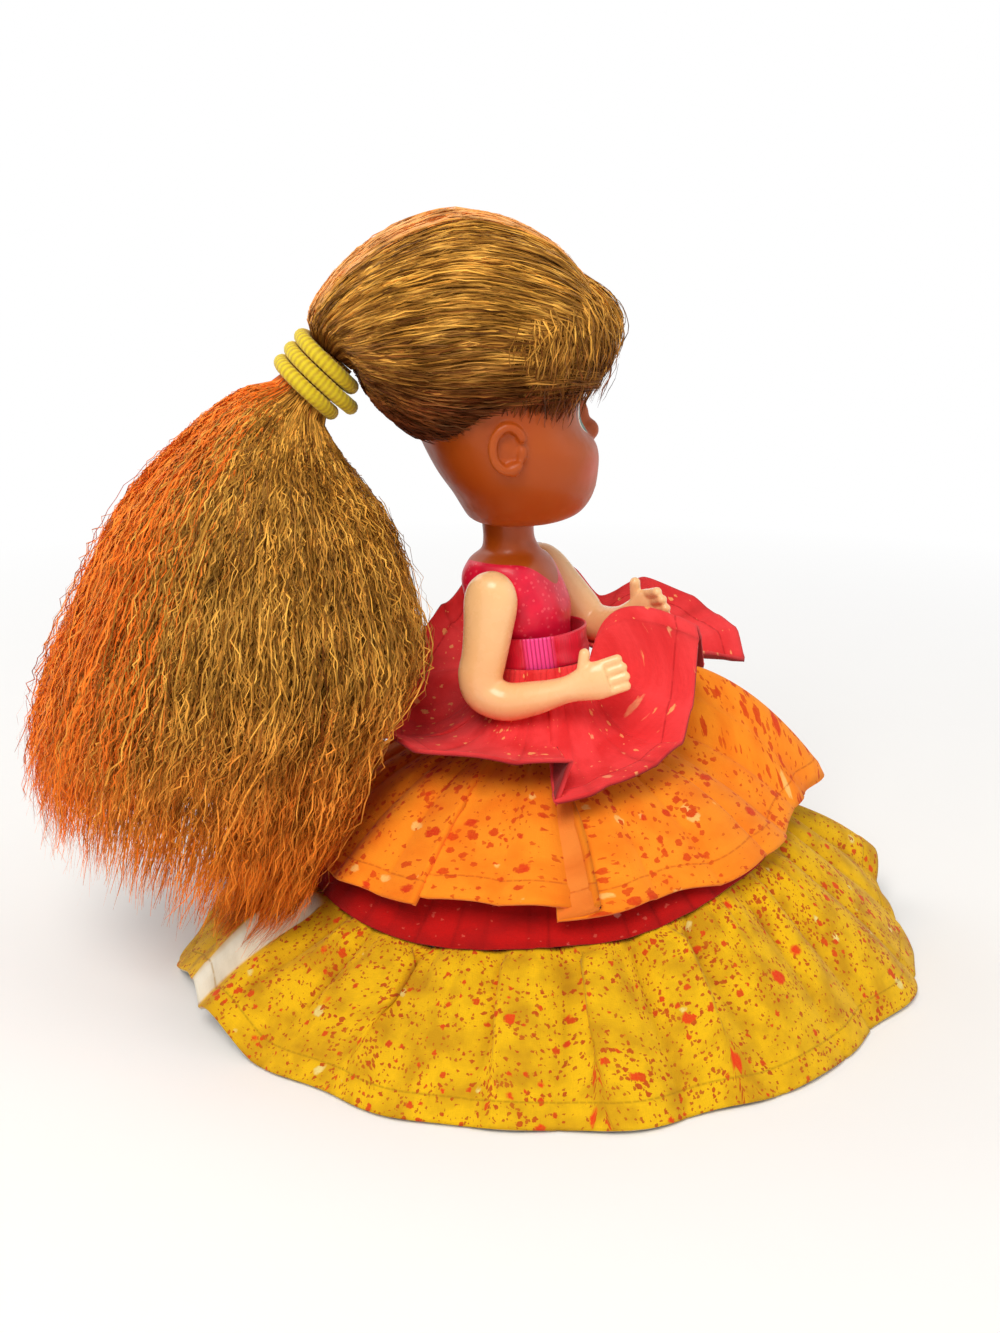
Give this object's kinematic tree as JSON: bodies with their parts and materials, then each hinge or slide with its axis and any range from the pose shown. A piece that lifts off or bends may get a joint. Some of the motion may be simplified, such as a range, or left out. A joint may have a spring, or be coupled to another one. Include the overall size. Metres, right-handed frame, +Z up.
{
  "type": "fashion doll",
  "caption": "Standing fashion doll with a turning head, swinging arms and legs, a tied bell-shaped ponytail and a skirt of gathered tiers over a wide bottom flounce.",
  "frame": {"origin": "middle of the footprint's bounding rectangle, on the surface that the doll stands on", "axes": "+Z up, the face towards -Y, the doll's right ear towards -X, the ponytail towards +Y; the body is turned 32 degrees to the doll's right under the head"},
  "size_m": [0.143, 0.171, 0.143],
  "materials": {
    "painted_top": "satin paint",
    "peach_vinyl": "glossy vinyl",
    "head_vinyl": "satin vinyl",
    "shoe_plastic": "satin",
    "brown_hair": "nylon hair",
    "coral_hair": "nylon hair",
    "yellow_elastic": "covered elastic",
    "satin_ribbon": "satin",
    "red_cloth": "printed cotton",
    "yellow_cloth": "printed cotton",
    "orange_cloth": "printed cotton",
    "pink_cloth": "printed cotton"
  },
  "bodies": {
    "body": {"torso_front": "painted_top", "torso_back": "painted_top", "waist_sash": "satin_ribbon", "waistband": "red_cloth", "skirt_base": "red_cloth", "flounce_bottom": "yellow_cloth", "flounce_middle": "orange_cloth", "flounce_top": "pink_cloth"},
    "head": {"head_shell": "head_vinyl", "hair_sides": "brown_hair", "hair_streak": "coral_hair", "fringe": "brown_hair", "ponytail_body": "brown_hair", "ponytail_streak": "coral_hair", "hair_elastic": "yellow_elastic"},
    "right_arm": {"arm_right": "peach_vinyl"},
    "left_arm": {"arm_left": "peach_vinyl"},
    "right_leg": {"leg_right": "peach_vinyl", "shoe_right": "shoe_plastic"},
    "left_leg": {"leg_left": "peach_vinyl", "shoe_left": "shoe_plastic"}
  },
  "joints": [
    {"name": "head_turn", "type": "hinge", "parent": "body", "child": "head", "pos_m": [0.00343, -0.00604, 0.0866], "axis": [0, 0, 1], "range_deg": [-60, 60]},
    {"name": "shoulder_right", "type": "hinge", "parent": "body", "child": "right_arm", "pos_m": [-0.0048, -0.00184, 0.074], "axis": [-0.848, 0.5299, 0], "range_deg": [-2, 65]},
    {"name": "shoulder_left", "type": "hinge", "parent": "body", "child": "left_arm", "pos_m": [0.0108, -0.01159, 0.074], "axis": [-0.848, 0.5299, 0], "range_deg": [-2, 45]},
    {"name": "hip_right", "type": "hinge", "parent": "body", "child": "right_leg", "pos_m": [-0.0034, -0.00885, 0.042], "axis": [-0.848, 0.5299, 0], "range_deg": [-25, 35]},
    {"name": "hip_left", "type": "hinge", "parent": "body", "child": "left_leg", "pos_m": [0.00389, -0.01341, 0.042], "axis": [-0.848, 0.5299, 0], "range_deg": [-25, 35]}
  ]
}
